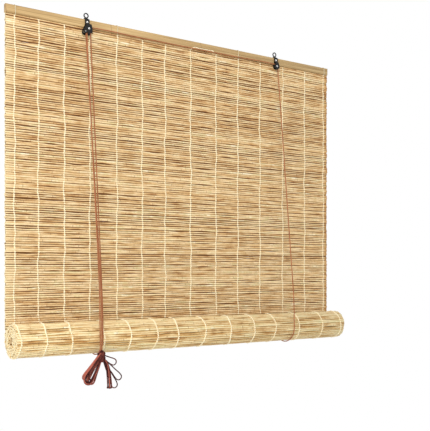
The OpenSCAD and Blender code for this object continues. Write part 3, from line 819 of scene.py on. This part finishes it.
# The fall of a tail: share of the way to the foot's x, distance forward, height
FALL = ((0, 0, -1.0020), (0.45, 0, -1.0130), (0.70, 0.0004, -1.0280), (0.86, 0.0008, -1.0500))
for k, (x0, x1, y, drop) in enumerate(TAILS):
    foot = np.array([x1, y - 0.001, drop])
    s = Soup()
    rope(s, foot + 0.0007 * np.stack(trefoil(60, 1.6), 1), 0.0022, seed=rng.random(), red=1.0)
    end_knot = piece(f"tail_knot_{k + 1}", s, CORD_LOOK, "pull_bundle")
    fall = [(x0 + part * (x1 - x0), y - out, z) for part, out, z in FALL]
    tassel(f"tail_{k + 1}", [*fall, tuple(foot)], TAIL_TONES[k], ("tail_loops",))


# Lift cords: over the wheels, down the front, under the roll and up the back

def over_wheel(x, y, a, b):
    t = np.radians(np.linspace(a, b, 13))
    return [(x + WHEEL_R * math.cos(v), y, AXLE_Z + WHEEL_R * math.sin(v)) for v in t]


def cord_piece(name, points, body, node, seed=None, squash=None):
    line, _ = curve(points, CORD_STEP)
    s = Soup()
    rope(s, line, seed=rng.random() if seed is None else seed)
    o = piece(name, s, CORD_LOOK, body, (node,))
    if squash:
        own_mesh(o)


def under_roll(x):
    """A sling's way from the roll's front, close under it, to its back."""
    line = []
    for a in np.linspace(math.pi, 0, 17):
        r = SPOOL_R - TURN * a / (2 * math.pi) + REED_R + 0.0026 + 0.0014 * math.cos(a) ** 2
        line.append((x, ROLL_Y + r * math.cos(a), ROLL_Z - r * math.sin(a)))
    line[0], line[-1] = (x, SLING_Y - SLING_R, ROLL_Z), (x, BACK_Y, ROLL_Z)
    return line


EYE_R = 0.0024
for side, x, wheel_y in (("left", LEFT_LIFT, FRONT_Y), ("right", RIGHT_LIFT, REAR_Y)):
    down = over_roll(wheel_y, STUB_Z, 1 - TRAVEL / (STUB_Z - ROLL_Z), SLING_R)
    cord_piece(f"{side}_front_strand", [(x, *q) for q in down], "headrail", f"{side}_front_cord",
               squash=(x, wheel_y, STUB_Z))
    cord_piece(f"{side}_sling_strand", under_roll(x), "slings", f"{side}_sling")
    top = (x, ANCHOR_Y, ANCHOR_TOP)
    half_way = (x, (ANCHOR_Y + BACK_Y) / 2, (ANCHOR_TOP + ROLL_Z) / 2)
    cord_piece(f"{side}_back_strand", [top, half_way, (x, BACK_Y, ROLL_Z)], "headrail",
               f"{side}_back_cord", squash=top)
    s = Soup()
    t = np.radians(np.linspace(-90, 270, 13))
    eye = [(x, ANCHOR_Y + EYE_R * math.cos(v), STAPLE_Z - EYE_R * math.sin(v)) for v in t]
    rope(s, np.array(eye), 0.0029)
    wide, high, deep = trefoil(70, 1.4)
    tied = 0.0011 * np.stack([high, deep, wide], 1)
    rope(s, np.array([x, ANCHOR_Y, ANCHOR_KNOT_Z]) + tied, 0.0027)
    piece(f"{side}_tied_anchor", s, CORD_LOOK, "headrail", (f"{side}_anchor_knot",))

cord_piece("left_wheel_strand",
           [(LEFT_LIFT, FRONT_Y, STUB_Z), *over_wheel(LEFT_X, FRONT_Y, 0, 180),
            (PULL_X, FRONT_Y, STUB_Z)],
           "headrail", "left_wheel_cord", FRONT_SEED)
sag = [(0.18, REAR_Y, -0.0372), (0, REAR_Y, -0.0374), (-0.18, REAR_Y, -0.0372)]
cord_piece("cross_strand",
           [(RIGHT_LIFT, REAR_Y, STUB_Z), *over_wheel(RIGHT_X, REAR_Y, 0, 90), *sag,
            *over_wheel(LEFT_X, REAR_Y, 90, 180), (PULL_X, REAR_Y, STUB_Z)],
           "headrail", "cross_cord", REAR_SEED)


# Reed mat: thick reeds in rows and thinner ones behind them, in an upper part and a lower one
# that gathers

PARTS = ("upper", "lower")
MAT_R, MAT_R_SPREAD, MAT_R_RANGE = REED_R * 0.99, 0.00038, (0.0025, 0.0041)
THIN_R, THIN_LEAST, THIN_BACK = (0.0027, 0.0031), 0.0026, 0.0007
mat, fill, warp = ({part: Soup() for part in PARTS} for _ in range(3))
rows, row_r = np.empty(REED_COUNT), np.empty(REED_COUNT)
row_part = []
for i in range(REED_COUNT):
    z = FIRST_REED_Z - i * MAT_PITCH
    part = "upper" if z > SPLIT_Z else "lower"
    r = float(np.clip(rng.normal(MAT_R, MAT_R_SPREAD), *MAT_R_RANGE))
    xs, up, away, thick, marks, gap = reed_line(REED_RINGS, r, 0.0008, 0.00035)
    z += rng.normal(0, 0.00035)
    if i == 0:
        z, up, thick = FIRST_REED_Z + 0.0006, up * 0.1, np.maximum(thick, REED_R)
    depth = rng.normal(0, 0.0002)
    reed(mat[part], xs, depth + away, z + up, thick, REED_SIDES, rng.random(), marks, gap=gap)
    rows[i], row_r[i] = z, r
    row_part.append(part)
for i in range(-1, REED_COUNT - 1):
    z = FIRST_REED_Z - (i + 0.5) * MAT_PITCH
    part = "upper" if z > SPLIT_Z else "lower"
    r = rng.uniform(*THIN_R)
    xs, up, away, thick, marks, _ = reed_line(THIN_RINGS, r, 0.0002, 0.0001)
    thick = np.maximum(thick, THIN_LEAST)
    # Painted shade: the thin reeds are dark on their front, where they lie in shade between the
    # thick reeds, and lit on their back
    reed(fill[part], xs, THIN_BACK + away, z + up, thick, THIN_SIDES, rng.random(), marks,
         out=(1, 0), dark=0.22)

for part in PARTS:
    for name, soup in ((f"reeds_{part}", mat[part]), (f"thin_reeds_{part}", fill[part])):
        o = piece(name, soup, MAT_LOOK, "headrail", ("reed_mat",))
        if part == "lower":
            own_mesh(o)

for x in THREADS:
    way = x + wave(rows, 0.0024, (0.27, 0.12, 0.05))
    for part, end in (("upper", "after"), ("lower", "before")):
        pick = [k for k in range(REED_COUNT) if row_part[k] == part]
        centres = np.stack([np.zeros(len(pick)), rows[pick]], 1)
        outs = np.tile([-1.0, 0], (len(pick), 1))
        twine(warp[part], way[pick], centres, outs, row_r[pick], **{end: (0, SPLIT_Z)})
for part in PARTS:
    o = piece(f"warp_threads_{part}", warp[part], THREAD_LOOK, "headrail",
              ("mat_threads",))
    if part == "lower":
        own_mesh(o)

# Ties that hold the mat to the batten: each goes up the front, over the top and down the back
s = Soup()
half, top, bend = BATTEN_T / 2 + 0.0006, BATTEN_TOP + 0.0006, 0.0015
for k in (0, 4, 9, 13):
    for dx in (-0.0006, 0.0006):
        x = THREADS[k] + dx
        j = rng.normal(0, 0.0004, 8)
        line, _ = curve([(x + j[0], -half + .002, -.0405), (x + j[1], -half, -.037),
                         (x + j[2], -half, -.026), (x + j[3], -half, top - bend),
                         (x + j[3], -half + bend, top), (x + j[4], half - bend, top),
                         (x + j[4], half, top - bend), (x + j[5], half, -.026),
                         (x + j[6], half, -.037), (x + j[7], half - .002, -.0405)], FINE_STEP)
        ribbon(s, line, 0.0012, 0.0011, rng.random(), 0.3)
# The loose end of one thread lies on the cross cord: share of the way to the next thread, y, z
x, wide = THREADS[7], THREADS[8] - THREADS[7]
LOOSE = ((.25, -.0124, -.0342), (.45, -.0116, -.0340), (.62, -.0130, -.0343),
         (.74, -.0118, -.0340), (.80, -.0140, -.0347), (.81, -.0152, -.0372))
line, _ = curve([(x, -half + .002, -.0395), (x + .002, -half - .001, -.0368),
                 (x + .007, -.0106, -.0340),
                 *((x + part * wide, y, z) for part, y, z in LOOSE)], FINE_STEP)
ribbon(s, line, 0.0032, 0.0026, 0.9)
piece("tied_threads", s, THREAD_LOOK, "headrail", ("batten_ties",))


# Roll: a spiral of reeds, of which the outer turn is drawn in full, and the warp round it

OUTER_REEDS, THREADED = 48, 40
ROLL_R, ROLL_R_SPREAD, ROLL_R_RANGE = REED_R * 0.98, 0.0003, (0.0026, 0.0039)


def roll_place(k):
    """Where reed k lies, and the way out of the roll there, as (y, z)."""
    shrink = TURN / (2 * np.pi)
    a = (SPOOL_R - math.sqrt(SPOOL_R**2 - 2 * shrink * k * ROLL_PITCH)) / shrink
    out = np.array([math.cos(a), -math.sin(a)])
    return np.array([ROLL_Y, ROLL_Z]) + (SPOOL_R - shrink * a) * out, out


s = Soup()
roll_r = []
for k in range(ROLLED + 1):
    c, out = roll_place(k)
    r = float(np.clip(rng.normal(ROLL_R, ROLL_R_SPREAD), *ROLL_R_RANGE))
    roll_r.append(r)
    if k < OUTER_REEDS:
        xs, up, away, thick, marks, gap = reed_line(REED_RINGS, r, 0.0006, 0.0003)
        thick = thick * (1 + 0.10 * gap)
        side = np.array([-out[1], out[0]])
        ys = c[0] + up * side[0] + away * out[0]
        zs = c[1] + up * side[1] + away * out[1]
        reed(s, xs, ys, zs, thick, REED_SIDES, rng.random(), marks,
             out=out, dark=0.72, gap=0.8 * gap)
    else:
        xs = np.array([-MAT_W / 2 + rng.normal(0, 0.0011), MAT_W / 2 + rng.normal(0, 0.0011)])
        ys, zs, thick = np.full(2, c[0]), np.full(2, c[1]), np.full(2, 1.06 * r)
        reed(s, xs, ys, zs, thick, REED_SIDES, rng.random(), out=out, dark=0.8)
piece("rolled_reeds", s, ROLL_LOOK, "roll", ("reed_roll",))

s = Soup()
places = [roll_place(k) for k in range(THREADED)]
centres = np.array([p[0] for p in places])
outs = np.array([p[1] for p in places])
arcs = np.arange(THREADED) * ROLL_PITCH
# The left threads stray as in the photo, the others by chance
strays = [-0.017, -0.011, -0.014, 0.005, -0.001, 0.001, *rng.normal(0, 0.004, 8)]
for x, stray in zip(THREADS, strays):
    way = x + stray + wave(arcs, 0.0028, (0.21, 0.11, 0.05))
    twine(s, way, centres, outs, np.array(roll_r[:THREADED]))
piece("rolled_threads", s, THREAD_LOOK, "roll", ("roll_threads",))
